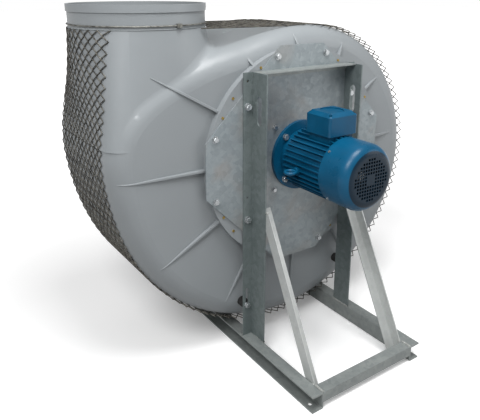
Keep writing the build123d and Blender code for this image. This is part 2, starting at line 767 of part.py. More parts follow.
# Rear end shield: carries the rear bearing and the lugs that the cowl is screwed to
lug_radius = cowl_radius - cowl_wall
with BuildPart() as rear_endshield:
    turned((frame_end + rear_wall, shaft_radius + 1), (frame_end + rear_wall, frame_radius),
           (frame_end, frame_radius), (frame_end, frame_bore), (frame_end - spigot_lap, frame_bore),
           (frame_end - spigot_lap, frame_bore - 4), (frame_end, frame_bore - 8),
           (frame_end, bearing_radius + 10), (bearing_rear_start, bearing_radius + 10),
           (bearing_rear_start, bearing_radius), (bearing_rear_start + bearing_width, bearing_radius),
           (bearing_rear_start + bearing_width, shaft_radius + 1))
    with BuildSketch(facing(frame_end)) as lugs:
        with PolarLocations(lug_radius - 10, 4, 45):
            Rectangle(30, 24)
        Circle(lug_radius, mode=Mode.INTERSECT)
    extrude(lugs.sketch, amount=rear_wall)
save(rear_endshield, "rear_endshield")

# Bearings: closed ball bearings, drawn whole, that run on the shaft
for start, name in ((bearing_front_start, "bearing_front"), (bearing_rear_start, "bearing_rear")):
    with BuildPart() as bearing:
        turned((start, shaft_radius + running_gap), (start, bearing_radius),
               (start + bearing_width, bearing_radius), (start + bearing_width, shaft_radius + running_gap))
    save(bearing, name)

# Stator: the laminated core pressed into the frame, with a copper winding end on each side
with BuildPart() as stator_core:
    turned((stator_start, stator_bore), (stator_start, frame_bore), (stator_end, frame_bore),
           (stator_end, stator_bore))
save(stator_core, "stator_core")

with BuildPart() as windings:
    for start, end in ((stator_start - winding_reach, stator_start), (stator_end, stator_end + winding_reach)):
        turned((start, stator_bore + 4), (start, frame_bore - 6), (end, frame_bore - 6), (end, stator_bore + 4))
save(windings, "windings")

# Rotor: the core on the shaft, and the plastic cooling fan behind the rear bearing
with BuildPart() as rotor_core:
    turned((stator_start, shaft_radius), (stator_start, stator_bore - air_gap),
           (stator_end, stator_bore - air_gap), (stator_end, shaft_radius))
save(rotor_core, "rotor_core")

with BuildPart() as motor_shaft:
    drum(-shaft_end, fan_end, shaft_radius)
    drum(-shaft_end, -shaft_end + hub_bolt_depth, hub_bolt_radius, mode=Mode.SUBTRACT)
    with BuildSketch(facing(-shaft_end)) as keyway:
        with Locations((0, shaft_radius)):
            Rectangle(key_width, key_height)
    extrude(keyway.sketch, amount=key_length, mode=Mode.SUBTRACT)
save(motor_shaft, "motor_shaft")

with BuildPart() as shaft_key:
    with BuildSketch(facing(-shaft_end)) as key_end:
        with Locations((0, shaft_radius)):
            Rectangle(key_width, key_height)
    extrude(amount=key_length - 2)
save(shaft_key, "shaft_key")

with BuildPart() as hub_bolt:
    washer_face = blade_start
    drum(washer_face, washer_face - 5, shaft_radius + 8)
    with BuildSketch(facing(washer_face - 5)) as head:
        RegularPolygon(9.5, 6, major_radius=False)
    extrude(head.sketch, amount=-8)
    drum(washer_face, -shaft_end + hub_bolt_depth, hub_bolt_radius)
save(hub_bolt, "hub_bolt")

with BuildPart() as cooling_fan:
    turned((fan_start, shaft_radius), (fan_start, fan_hub_radius), (fan_end, fan_hub_radius - 2),
           (fan_end, shaft_radius))
    turned((fan_start, shaft_radius), (fan_start, fan_radius - 12), (fan_start + 3, fan_radius - 12),
           (fan_start + 3, shaft_radius))
    with BuildSketch(facing(fan_start)) as fan_blades:
        with PolarLocations((fan_hub_radius + fan_radius) / 2 - 1, fan_blade_count):
            Rectangle(fan_radius - fan_hub_radius + 2, 3)
    extrude(fan_blades.sketch, amount=fan_end - fan_start - 4)
save(cooling_fan, "cooling_fan")

# Fan cowl: a pressed steel hood with a rounded shoulder and a square grid of holes in its flat end
with BuildPart() as fan_cowl:
    with BuildSketch(axial) as section:
        with BuildLine():
            shoulder = cowl_radius - cowl_shoulder
            Polyline((cowl_start, cowl_radius - cowl_wall), (cowl_start, cowl_radius),
                     (cowl_end - cowl_shoulder, cowl_radius))
            RadiusArc((cowl_end - cowl_shoulder, cowl_radius), (cowl_end, shoulder), cowl_shoulder)
            Polyline((cowl_end, shoulder), (cowl_end, 0), (cowl_end - cowl_wall, 0),
                     (cowl_end - cowl_wall, shoulder))
            RadiusArc((cowl_end - cowl_wall, shoulder), (cowl_end - cowl_shoulder, cowl_radius - cowl_wall),
                      -(cowl_shoulder - cowl_wall))
            Line((cowl_end - cowl_shoulder, cowl_radius - cowl_wall), (cowl_start, cowl_radius - cowl_wall))
        make_face()
    revolve(section.sketch, axis=shaft_axis)
    reach = int(grille_radius / grille_pitch)
    steps = range(-reach, reach + 1)
    grid = [(i * grille_pitch, j * grille_pitch) for i in steps for j in steps]
    holes = [(x, y) for x, y in grid
             if grille_boss_radius + grille_hole / 2 < hypot(x, y) < grille_radius - grille_hole * 0.6]
    with BuildSketch(facing(cowl_end)) as grille:
        with Locations(*holes):
            Rectangle(grille_hole, grille_hole)
    extrude(grille.sketch, amount=-cowl_wall, mode=Mode.SUBTRACT)
save(fan_cowl, "fan_cowl")

# Cowl screws: four pan heads through the cowl's rim into the lugs
with BuildPart() as cowl_screws:
    for k in range(4):
        angle = radians(45 + 90 * k)
        side_plane = Plane(
            origin=(cowl_radius * cos(angle), plate_y - frame_end - rear_wall / 2,
                    axis_height + cowl_radius * sin(angle)),
            x_dir=(0, 1, 0), z_dir=(cos(angle), 0, sin(angle)))
        with BuildSketch(side_plane) as head:
            Circle(4.5)
        extrude(head.sketch, amount=2.5)
save(cowl_screws, "cowl_screws")

# Terminal box: the cast lower half on the frame's seat, a moulded lid with a bevelled rim, screws and block
box_length = box_end - box_start
pillar_inset = box_wall + lid_pillar - 1
pillar_places = [(i * (box_half_width - pillar_inset), j * (box_length / 2 - pillar_inset))
                 for i in (-1, 1) for j in (-1, 1)]
with BuildPart() as terminal_box:
    with BuildSketch(over_motor(box_seat)) as outline:
        RectangleRounded(2 * box_half_width, box_length, box_corner)
    extrude(outline.sketch, amount=box_seam - box_seat)
    with BuildSketch(over_motor(box_seat + box_wall)) as inside:
        RectangleRounded(2 * (box_half_width - box_wall), box_length - 2 * box_wall, box_corner - box_wall)
    extrude(inside.sketch, amount=box_seam - box_seat, mode=Mode.SUBTRACT)
    with BuildSketch(over_motor(box_seat + box_wall)) as pillars:
        with Locations(*pillar_places):
            Circle(lid_pillar)
            Circle(lid_screw_radius, mode=Mode.SUBTRACT)
    extrude(pillars.sketch, amount=box_seam - box_seat - box_wall)
save(terminal_box, "terminal_box")

with BuildPart() as terminal_lid:
    with BuildSketch(over_motor(box_seam)) as outline:
        RectangleRounded(2 * box_half_width, box_length, box_corner)
    extrude(outline.sketch, amount=box_top - box_seam - lid_bevel)
    with BuildSketch(over_motor(box_top - lid_bevel)) as bevel_foot:
        RectangleRounded(2 * box_half_width, box_length, box_corner)
    with BuildSketch(over_motor(box_top)) as bevel_top:
        RectangleRounded(2 * (box_half_width - lid_bevel), box_length - 2 * lid_bevel, box_corner)
    loft([bevel_foot.sketch.face(), bevel_top.sketch.face()])
    with BuildSketch(over_motor(box_seam)) as inside:
        RectangleRounded(2 * (box_half_width - box_wall), box_length - 2 * box_wall, box_corner - box_wall)
    extrude(inside.sketch, amount=box_top - box_seam - lid_bevel, mode=Mode.SUBTRACT)
    with BuildSketch(over_motor(box_seam)) as pillars:
        with Locations(*pillar_places):
            Circle(lid_pillar)
    extrude(pillars.sketch, amount=box_top - box_seam - lid_bevel)
    with BuildSketch(over_motor(box_top)) as recess:
        Ellipse(box_half_width * 0.6, box_length * 0.36)
    extrude(recess.sketch, amount=-lid_recess, mode=Mode.SUBTRACT)
    with BuildSketch(over_motor(box_seam)) as bores:
        with Locations(*pillar_places):
            Circle(lid_screw_radius)
    extrude(bores.sketch, amount=box_top - box_seam, mode=Mode.SUBTRACT)
    with BuildSketch(over_motor(box_top)) as sinks:
        with Locations(*pillar_places):
            Circle(lid_pillar - 1)
    extrude(sinks.sketch, amount=-lid_bevel - 2, mode=Mode.SUBTRACT)
save(terminal_lid, "terminal_lid")

with BuildPart() as lid_screws:
    seat_height = box_top - lid_bevel - 2
    with BuildSketch(over_motor(seat_height)) as heads:
        with Locations(*pillar_places):
            Circle(lid_pillar - 1.5)
    extrude(heads.sketch, amount=3)
    with BuildSketch(over_motor(seat_height)) as shanks:
        with Locations(*pillar_places):
            Circle(lid_screw_radius)
    extrude(shanks.sketch, amount=box_seam - seat_height - (box_seam - box_seat - box_wall) / 2)
save(lid_screws, "lid_screws")

with BuildPart() as terminal_block:
    with BuildSketch(over_motor(box_seat + box_wall)) as block:
        Rectangle(66, 34)
    extrude(block.sketch, amount=16)
    with BuildSketch(over_motor(box_seat + box_wall + 16)) as studs:
        with GridLocations(20, 16, 3, 2):
            Circle(2.5)
    extrude(studs.sketch, amount=8)
save(terminal_block, "terminal_block")

# Blank gland: closes the cable hole in the terminal box's right side
with BuildPart() as blank_gland:
    gland_height = axis_height + (box_seat + box_seam) / 2
    with BuildSketch(Plane.YZ.offset(box_half_width)) as nut:
        with Locations((plate_y - box_middle, gland_height)):
            RegularPolygon(9, 6, major_radius=False)
    extrude(nut.sketch, amount=5)
    with BuildSketch(Plane.YZ.offset(box_half_width + 5)) as cap:
        with Locations((plate_y - box_middle, gland_height)):
            Circle(7.5)
    extrude(cap.sketch, amount=9)
    fillet(blank_gland.faces().sort_by(Axis.X)[-1].edges(), 3)
save(blank_gland, "blank_gland")
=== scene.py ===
import bpy
import json
from bisect import bisect_left
from math import atan2, cos, degrees, pi, radians, sin, sqrt
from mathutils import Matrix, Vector
from mathutils.bvhtree import BVHTree


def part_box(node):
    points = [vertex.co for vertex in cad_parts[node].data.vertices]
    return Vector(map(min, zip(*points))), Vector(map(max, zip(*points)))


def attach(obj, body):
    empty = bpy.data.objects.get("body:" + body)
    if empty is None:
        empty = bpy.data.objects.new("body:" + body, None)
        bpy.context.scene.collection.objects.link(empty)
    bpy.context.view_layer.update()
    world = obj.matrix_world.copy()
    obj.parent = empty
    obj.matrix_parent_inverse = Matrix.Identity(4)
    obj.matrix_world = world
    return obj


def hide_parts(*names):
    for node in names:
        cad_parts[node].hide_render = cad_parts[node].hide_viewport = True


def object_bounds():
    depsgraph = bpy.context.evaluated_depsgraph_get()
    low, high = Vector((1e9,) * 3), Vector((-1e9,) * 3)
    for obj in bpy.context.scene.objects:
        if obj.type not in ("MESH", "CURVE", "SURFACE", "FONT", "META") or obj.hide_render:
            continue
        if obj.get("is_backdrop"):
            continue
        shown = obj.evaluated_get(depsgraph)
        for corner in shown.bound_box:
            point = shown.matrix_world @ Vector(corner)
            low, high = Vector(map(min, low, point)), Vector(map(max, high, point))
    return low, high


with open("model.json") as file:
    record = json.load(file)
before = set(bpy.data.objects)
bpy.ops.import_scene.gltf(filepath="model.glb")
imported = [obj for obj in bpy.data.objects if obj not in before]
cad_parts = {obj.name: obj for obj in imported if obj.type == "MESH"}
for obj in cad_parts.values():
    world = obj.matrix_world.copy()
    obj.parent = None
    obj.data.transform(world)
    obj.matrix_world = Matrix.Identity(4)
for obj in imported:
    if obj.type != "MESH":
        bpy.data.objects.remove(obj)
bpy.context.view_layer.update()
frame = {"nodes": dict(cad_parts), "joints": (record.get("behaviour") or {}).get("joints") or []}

# The stand: two bent channel rails, three angle cross members, two slotted posts and two braces.
# All are hot-dip galvanised after cutting, so each has a dull grey zinc skin with crystal spangle.
# The braces get brighter greys as a painted highlight, and the posts darker greys than the rails.
spangle_size = 0.016
spangle_fine = 0.007
stain_size = 0.22
zinc_dark, zinc_light = "7c8282", "a3a8a6"
post_dark, post_light = "606b6b", "858e8e"
brace_dark, brace_light = "b9bcbb", "cfd2d0"


def linear(code):
    """An sRGB hex colour as linear red, green, blue and alpha."""
    parts = [int(code[i:i + 2], 16) / 255 for i in (0, 2, 4)]
    return tuple(c / 12.92 if c <= 0.04045 else ((c + 0.055) / 1.055) ** 2.4 for c in parts) + (1.0,)


def add_node(tree, kind, settings=None, links=None):
    """Adds a node, gives it its settings, by socket or by property, and links its inputs."""
    node = tree.nodes.new(kind)
    for name, value in (settings or {}).items():
        if isinstance(name, str) and hasattr(node, name):
            setattr(node, name, value)
        else:
            node.inputs[name].default_value = value
    for name, source in (links or {}).items():
        tree.links.new(source, node.inputs[name])
    return node


def new_material(name):
    """A material with only a surface shader in it, and the object's own coordinates."""
    material = bpy.data.materials.new(name)
    material.use_nodes = True
    tree = material.node_tree
    tree.nodes.clear()
    surface = add_node(tree, "ShaderNodeBsdfPrincipled")
    add_node(tree, "ShaderNodeOutputMaterial", links={"Surface": surface.outputs[0]})
    place = add_node(tree, "ShaderNodeTexCoord").outputs["Object"]
    return material, tree, surface, place


def blend_colours(tree, factor, dark, light):
    """A colour between two, by a factor from 0 to 1."""
    mix = add_node(tree, "ShaderNodeMix", {"data_type": "RGBA"}, {0: factor})
    mix.inputs[6].default_value = linear(dark)
    mix.inputs[7].default_value = linear(light)
    return mix.outputs[2]


def galvanised(name, dark, light, roughness, metal):
    """Hot-dip zinc: crystals of a centimetre or two in slightly different greys, with faint stains."""
    material, tree, surface, place = new_material(name)
    crystals = add_node(tree, "ShaderNodeTexVoronoi", {"Scale": 1 / spangle_size, "Randomness": 1.0},
                        {"Vector": place})
    grains = add_node(tree, "ShaderNodeTexVoronoi", {"Scale": 1 / spangle_fine}, {"Vector": place})
    stains = add_node(tree, "ShaderNodeTexNoise", {"Scale": 1 / stain_size, "Detail": 6.0, "Roughness": 0.6},
                      {"Vector": place})
    pale = add_node(tree, "ShaderNodeSeparateColor", links={0: crystals.outputs["Color"]})
    small = add_node(tree, "ShaderNodeSeparateColor", links={0: grains.outputs["Color"]})
    both = add_node(tree, "ShaderNodeMix", {0: 0.15}, {2: pale.outputs[0], 3: small.outputs[0]})
    shade = add_node(tree, "ShaderNodeMix", {0: 0.6}, {2: both.outputs[0], 3: stains.outputs["Fac"]})
    colour = blend_colours(tree, shade.outputs[0], dark, light)
    tree.links.new(colour, surface.inputs["Base Color"])
    rough = add_node(tree, "ShaderNodeMapRange", {3: roughness - 0.08, 4: roughness + 0.12},
                     {0: small.outputs[1]})
    tree.links.new(rough.outputs[0], surface.inputs["Roughness"])
    bump = add_node(tree, "ShaderNodeBump", {"Strength": 0.12, "Distance": 0.0006},
                    {"Height": crystals.outputs["Distance"]})
    tree.links.new(bump.outputs[0], surface.inputs["Normal"])
    surface.inputs["Metallic"].default_value = metal
    return material


def finish_nodes(material, *names):
    """Gives CAD nodes their material, in their own slots."""
    for name in names:
        for slot in frame["nodes"][name].material_slots:
            slot.material = material


stand_zinc = galvanised("galvanised_steel", zinc_dark, zinc_light, 0.44, 0.4)
# The braces get a brighter copy of the zinc: a painted highlight.
brace_highlight_zinc = galvanised("galvanised_steel_painted_highlight", brace_dark, brace_light, 0.44, 0.4)
# The posts get a darker copy of the same zinc than the rails and cross members.
post_zinc = galvanised("galvanised_steel_darker", post_dark, post_light, 0.44, 0.4)
finish_nodes(stand_zinc, "rail_left", "rail_right", "cross_member_front", "cross_member_rear",
             "cross_member_top")
finish_nodes(post_zinc, "post_left", "post_right")
finish_nodes(brace_highlight_zinc, "brace_left", "brace_right")

# Welds of the stand: short hand-laid beads where the posts, braces and cross members meet the rails.
# Each is a row of overlapping ripples of bright weld metal, cleaned and sprayed with zinc, with a painted
# highlight on each ripple's crown and painted shade between.
bead_radius = 0.0042
ripple_pitch = 0.0028
weld_colour, weld_shadow = "dcdedb", "a0a29f"


def line_tree(name):
    """A tree that turns edges into round wire, its thickness varied by noise for a hand-laid bead."""
    tree = bpy.data.node_groups.new(name, "GeometryNodeTree")
    face = tree.interface
    face.new_socket("Geometry", in_out="INPUT", socket_type="NodeSocketGeometry")
    inputs = (("Radius", "NodeSocketFloat", 0.001), ("Sides", "NodeSocketInt", 6),
              ("Unevenness", "NodeSocketFloat", 0.0), ("Ripple Length", "NodeSocketFloat", 0.01))
    for label, kind, value in inputs:
        face.new_socket(label, in_out="INPUT", socket_type=kind).default_value = value
    face.new_socket("Material", in_out="INPUT", socket_type="NodeSocketMaterial")
    face.new_socket("Geometry", in_out="OUTPUT", socket_type="NodeSocketGeometry")
    given = add_node(tree, "NodeGroupInput")
    path = add_node(tree, "GeometryNodeMeshToCurve", links={0: given.outputs["Geometry"]})
    where = add_node(tree, "GeometryNodeInputPosition")
    scale = add_node(tree, "ShaderNodeMath", {"operation": "DIVIDE", 0: 1.0},
                     {1: given.outputs["Ripple Length"]})
    noise = add_node(tree, "ShaderNodeTexNoise", {"Detail": 1.0},
                     {"Vector": where.outputs[0], "Scale": scale.outputs[0]})
    swing = add_node(tree, "ShaderNodeMath", {"operation": "SUBTRACT", 1: 0.5}, {0: noise.outputs["Fac"]})
    change = add_node(tree, "ShaderNodeMath", {"operation": "MULTIPLY_ADD", 2: 1.0},
                      {0: swing.outputs[0], 1: given.outputs["Unevenness"]})
    width = add_node(tree, "ShaderNodeMath", {"operation": "MULTIPLY"},
                     {0: change.outputs[0], 1: given.outputs["Radius"]})
    sized = add_node(tree, "GeometryNodeSetCurveRadius", links={0: path.outputs[0], 2: width.outputs[0]})
    ring = add_node(tree, "GeometryNodeCurvePrimitiveCircle", {"Radius": 1.0},
                    {"Resolution": given.outputs["Sides"]})
    solid = add_node(tree, "GeometryNodeCurveToMesh", {"Fill Caps": True},
                     {0: sized.outputs[0], 1: ring.outputs[0]})
    if "Scale" in solid.inputs:
        radius = add_node(tree, "GeometryNodeInputRadius")
        tree.links.new(radius.outputs[0], solid.inputs["Scale"])
    smooth = add_node(tree, "GeometryNodeSetShadeSmooth", links={0: solid.outputs[0]})
    real = add_node(tree, "GeometryNodeRealizeInstances", links={0: smooth.outputs[0]})
    painted = add_node(tree, "GeometryNodeSetMaterial",
                       links={0: real.outputs[0], 2: given.outputs["Material"]})
    add_node(tree, "NodeGroupOutput", links={0: painted.outputs[0]})
    return tree


def grown(name, mesh, tree, values, material, body):
    """Runs a tree on a mesh with named inputs, keeps the result as a plain mesh and puts it on a body."""
    holder = bpy.data.objects.new(name, mesh)
    bpy.context.scene.collection.objects.link(holder)
    modifier = holder.modifiers.new("tree", "NODES")
    modifier.node_group = tree
    for item in tree.interface.items_tree:
        if item.in_out == "INPUT" and item.name in values:
            modifier[item.identifier] = values[item.name]
        elif item.in_out == "INPUT" and item.name == "Material":
            modifier[item.identifier] = material
    holder.update_tag()
    bpy.context.view_layer.update()
    graph = bpy.context.evaluated_depsgraph_get()
    made = bpy.data.meshes.new_from_object(holder.evaluated_get(graph))
    bpy.data.objects.remove(holder)
    made.name = name
    if not made.materials:
        made.materials.append(material)
    piece = bpy.data.objects.new(name, made)
    bpy.context.scene.collection.objects.link(piece)
    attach(piece, body)
    return piece


def line_mesh(name, paths, closed=False):
    """A mesh of edges that follow each of the given rows of points."""
    mesh = bpy.data.meshes.new(name)
    points, edges = [], []
    for path in paths:
        first = len(points)
        points += [tuple(p) for p in path]
        edges += [(first + i, first + i + 1) for i in range(len(path) - 1)]
        if closed:
            edges.append((first + len(path) - 1, first))
    mesh.from_pydata(points, edges, [])
    return mesh


def bead_line(start, end):
    """Points of a bead from start to end, one for each half ripple."""
    start, end = Vector(start), Vector(end)
    count = max(2, int((end - start).length / (ripple_pitch / 2)))
    return [start.lerp(end, i / count) for i in range(count + 1)]


def weld_metal(name, dark, light, roughness):
    """Rippled weld metal: a painted highlight on each ripple's crown and painted shade between."""
    material, tree, surface, place = new_material(name)
    ripples = add_node(tree, "ShaderNodeTexNoise", {"Scale": 1 / ripple_pitch, "Detail": 2.0},
                       {"Vector": place})
    tree.links.new(blend_colours(tree, ripples.outputs["Fac"], dark, light), surface.inputs["Base Color"])
    bump = add_node(tree, "ShaderNodeBump", {"Strength": 0.4, "Distance": 0.0008},
                    {"Height": ripples.outputs["Fac"]})
    tree.links.new(bump.outputs[0], surface.inputs["Normal"])
    surface.inputs["Roughness"].default_value = roughness
    surface.inputs["Metallic"].default_value = 0.7
    return material


weld_bright = weld_metal("weld_bead", weld_shadow, weld_colour, 0.4)
wires = line_tree("round_wire")
weld_paths = []
for side in ("left", "right"):
    post_low, post_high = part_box("post_" + side)
    brace_low, brace_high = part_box("brace_" + side)
    rail_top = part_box("rail_" + side)[1].z
    inner = -1 if side == "left" else 1
    web = post_high.x if inner < 0 else post_low.x
    outer = post_low.x if inner < 0 else post_high.x
    inside_web = web + inner * 0.001
    top = rail_top + bead_radius * 0.3
    weld_paths.append(bead_line((web, post_high.y, top), (outer, post_high.y, top)))
    weld_paths.append(bead_line((inside_web, post_low.y, top), (inside_web, post_high.y, top)))
    foot = web - inner * bead_radius * 0.3
    weld_paths.append(bead_line((foot, brace_low.y + 0.012, 0.03), (foot, brace_low.y + 0.036, rail_top)))
    weld_paths.append(bead_line((foot, brace_high.y - 0.045, brace_high.z + 0.001),
                                (foot, brace_high.y - 0.006, brace_high.z + 0.001)))
for name in ("cross_member_front", "cross_member_rear"):
    low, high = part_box(name)
    top = high.z + 0.0005
    for x in (low.x, high.x):
        weld_paths.append(bead_line((x, low.y + 0.003, top), (x, high.y - 0.003, top)))
grown("stand_welds", line_mesh("stand_welds", weld_paths), wires,
      {"Radius": bead_radius, "Sides": 8, "Unevenness": 0.9, "Ripple Length": ripple_pitch},
      weld_bright, "stand")

# The mounting plate: five millimetre sheet steel with eight sides, galvanised and bolted to the posts.
# Large sheets cool slowly in the bath, so its spangle is big and cloudy, with a faint warm stain.
plate_dark, plate_light, plate_stain = "7a8386", "a2aaae", "988c82"


def clouded_zinc(name):
    """Sheet zinc with big soft crystals, cloudy patches and a warm tint here and there."""
    material = galvanised(name, plate_dark, plate_light, 0.42, 0.4)
    tree = material.node_tree
    surface = next(n for n in tree.nodes if n.type == "BSDF_PRINCIPLED")
    colour = surface.inputs["Base Color"].links[0].from_socket
    place = next(n for n in tree.nodes if n.type == "TEX_COORD").outputs["Object"]
    clouds = add_node(tree, "ShaderNodeTexNoise", {"Scale": 7.0, "Detail": 4.0, "Distortion": 0.6},
                      {"Vector": place})
    weight = add_node(tree, "ShaderNodeMapRange", {1: 0.5, 2: 0.8, 3: 0.0, 4: 0.6},
                      {0: clouds.outputs["Fac"]})
    mix = add_node(tree, "ShaderNodeMix", {"data_type": "RGBA"}, {0: weight.outputs[0], 6: colour})
    mix.inputs[7].default_value = linear(plate_stain)
    tree.links.new(mix.outputs[2], surface.inputs["Base Color"])
    return material


plate_zinc = clouded_zinc("galvanised_sheet")
finish_nodes(plate_zinc, "mounting_plate", "backing_plate")

# The casing: two thermoformed polypropylene halves, hot-plate welded on the middle plane, with a collar
# and twelve stiffening ribs on the drive side. Its skin is smooth and satin, with a faint orange peel.
casing_dark, casing_light = "84898c", "93989b"
peel_size = 0.006
flow_size = 0.35


def moulded_plastic(name, dark, light, roughness, peel):
    """Satin polypropylene: nearly even grey, faint flow marks, a fine peel and slightly uneven gloss."""
    material, tree, surface, place = new_material(name)
    flow = add_node(tree, "ShaderNodeTexNoise", {"Scale": 1 / flow_size, "Detail": 5.0, "Roughness": 0.55},
                    {"Vector": place})
    skin = add_node(tree, "ShaderNodeTexNoise", {"Scale": 1 / peel, "Detail": 2.0}, {"Vector": place})
    tree.links.new(blend_colours(tree, flow.outputs["Fac"], dark, light), surface.inputs["Base Color"])
    rough = add_node(tree, "ShaderNodeMapRange", {1: 0.3, 2: 0.7, 3: roughness - 0.05, 4: roughness + 0.07},
                     {0: flow.outputs["Fac"]})
    tree.links.new(rough.outputs[0], surface.inputs["Roughness"])
    bump = add_node(tree, "ShaderNodeBump", {"Strength": 0.05, "Distance": 0.0006},
                    {"Height": skin.outputs["Fac"]})
    tree.links.new(bump.outputs[0], surface.inputs["Normal"])
    surface.inputs["IOR"].default_value = 1.49
    return material


casing_grey = moulded_plastic("polypropylene_grey", casing_dark, casing_light, 0.36, peel_size)
finish_nodes(casing_grey, "casing_drive_half", "casing_inlet_half", "outlet_spigot", "inlet_cone",
             "closing_disc")

# Seams of the casing: a thin extruded bead of the same plastic runs along the joint of the two halves
# and round the foot of the outlet spigot, laid by a hand welding gun.
seam_radius = 0.0022
seam_pitch = 0.006
seam_dark, seam_light = "7d8285", "9aa0a2"
shaft_height = frame["joints"][0]["pos_m"][2]
middle_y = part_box("casing_drive_half")[1].y
spigot_low, spigot_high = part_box("outlet_spigot")
spigot_x = (spigot_low.x + spigot_high.x) / 2


def solid_tree(*names):
    """The surface of CAD nodes, ready for rays."""
    points, faces = [], []
    for name in names:
        mesh = frame["nodes"][name].data
        first = len(points)
        points += [v.co.copy() for v in mesh.vertices]
        faces += [[first + i for i in p.vertices] for p in mesh.polygons]
    return BVHTree.FromPolygons(points, faces)


casing_skin = solid_tree("casing_drive_half", "casing_inlet_half", "outlet_spigot")
outside = 1.3


def skin_point(angle, y, gap):
    """The point this far over the casing's skin, at an angle about the shaft, seen from outside."""
    way = Vector((cos(radians(angle)), 0, sin(radians(angle))))
    centre = Vector((0, y, shaft_height))
    hit = casing_skin.ray_cast(centre + way * outside, -way)[0]
    return None if hit is None else hit + way * gap


seam_start, seam_end, seam_step = 148, 470, 1.0
seam_points = []
for i in range(int((seam_end - seam_start) / seam_step)):
    point = skin_point(seam_start + i * seam_step, middle_y, 0)
    if point is not None and point.z < spigot_low.z - 0.004:
        seam_points.append(point)
neck_radius = (spigot_high.x - spigot_low.x) / 2 - 0.003
neck_centre = Vector((spigot_x, middle_y, spigot_low.z))
neck_ring = [neck_centre + Vector((cos(radians(a)), sin(radians(a)), 0)) * neck_radius
             for a in range(0, 360, 2)]
# The seam bead's ripple crowns carry a painted highlight and its hollows painted shade.
seam_grey = weld_metal("polypropylene_weld", seam_dark, seam_light, 0.5)
seam_grey.node_tree.nodes["Principled BSDF"].inputs["Metallic"].default_value = 0.0
grown("casing_seam", line_mesh("casing_seam", [seam_points]), wires,
      {"Radius": seam_radius, "Sides": 8, "Unevenness": 0.5, "Ripple Length": seam_pitch},
      seam_grey, "stand")
grown("neck_seam", line_mesh("neck_seam", [neck_ring], closed=True), wires,
      {"Radius": seam_radius, "Sides": 8, "Unevenness": 0.5, "Ripple Length": seam_pitch},
      seam_grey, "stand")

# The ribs: twelve moulded gussets that run out from the collar over the casing's front and taper into it.
# Each covers the short rib of the solid beneath it, and follows the casing's rounding to its own end.
rib_ends = {0: 0.505, 30: 0.471, 60: 0.440, 90: 0.418, 120: 0.403, 150: 0.623, 180: 0.667,
            210: 0.626, 240: 0.592, 270: 0.563, 300: 0.545, 330: 0.525}
disc_low, disc_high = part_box("closing_disc")
collar_radius = (disc_high.x - disc_low.x) / 2 - 0.002
rib_half, rib_tip_half, rib_bevel = 0.0044, 0.0016, 0.0014
rib_rise, rib_tail, rib_sink = 0.0145, 0.0012, 0.002
rib_sections = 28
beside_rib = 0.009
front_skin = solid_tree("casing_drive_half")


def front_depth(angle, reach):
    """Depth of the casing's bare front beside a rib, at this distance from the shaft."""
    way = Vector((cos(radians(angle)), 0, sin(radians(angle))))
    side = Vector((-way.z, 0, way.x)) * beside_rib
    depths = []
    for sign in (-1, 1):
        start = Vector((0, -outside, shaft_height)) + way * reach + side * sign
        hit = front_skin.ray_cast(start, Vector((0, 1, 0)))[0]
        if hit is not None:
            depths.append(hit.y)
    return sum(depths) / len(depths)


rib_points, rib_faces = [], []
for angle, end in rib_ends.items():
    way = Vector((cos(radians(angle)), 0, sin(radians(angle))))
    side = Vector((-way.z, 0, way.x))
    root = collar_radius - 0.004
    first = len(rib_points)
    for i in range(rib_sections):
        part = i / (rib_sections - 1)
        reach = root + (end - root) * part
        skin = front_depth(angle, max(reach, collar_radius + 0.001))
        half = rib_half + (rib_tip_half - rib_half) * max(0.0, part - 0.6) / 0.4
        top = skin - rib_tail - (rib_rise - rib_tail) * (1 - part)
        bevel = min(rib_bevel, half * 0.6)
        outline = ((-half, skin + rib_sink), (-half, top + bevel * 0.7), (bevel - half, top),
                   (half - bevel, top), (half, top + bevel * 0.7), (half, skin + rib_sink))
        for across, depth in outline:
            place = Vector((0, 0, shaft_height)) + way * reach + side * across
            rib_points.append((place.x, depth, place.z))
    for i in range(rib_sections - 1):
        here = first + i * 6
        rib_faces += [(here + k, here + (k + 1) % 6, here + 6 + (k + 1) % 6, here + 6 + k) for k in range(6)]
    rib_faces.append(tuple(first + k for k in reversed(range(6))))
    rib_faces.append(tuple(first + (rib_sections - 1) * 6 + k for k in range(6)))
rib_mesh = bpy.data.meshes.new("casing_ribs")
rib_mesh.from_pydata(rib_points, [], rib_faces)
rib_mesh.materials.append(casing_grey)
casing_ribs = bpy.data.objects.new("casing_ribs", rib_mesh)
bpy.context.scene.collection.objects.link(casing_ribs)
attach(casing_ribs, "stand")

# The guard: a strip of chain link woven from 3.6 millimetre galvanised wire. It is wrapped round the
# scroll and the neck's outer side, bridges to the neck's inner side, and is tied with a wire rope.
wire_radius = 0.0018
weave_rise = 0.0009
wire_seat = 0.0027
link_pitch = 0.033
knuckle = 0.0022
guard_low, guard_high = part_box("guard_mesh")
strand_count = round((guard_high.y - guard_low.y) / (link_pitch / 2))
strand_width = (guard_high.y - guard_low.y) / strand_count
tie_height = guard_high.z + 0.004
wrap_start = 180 - degrees(atan2(tie_height - shaft_height, -spigot_low.x))
wrap_end, wrap_step = 448.0, 0.5
belt_step = 0.005
forward_shift = 0.046
shift_start, shift_full = 180, 250
gather_depth = 0.028
neck_seat = 0.0
# The strip's wire greys are darker than the weathered wire itself: partly weathering, partly painted shade
# for the shadows between the strip and the casing.
wire_dark, wire_light = "35332f", "77746c"

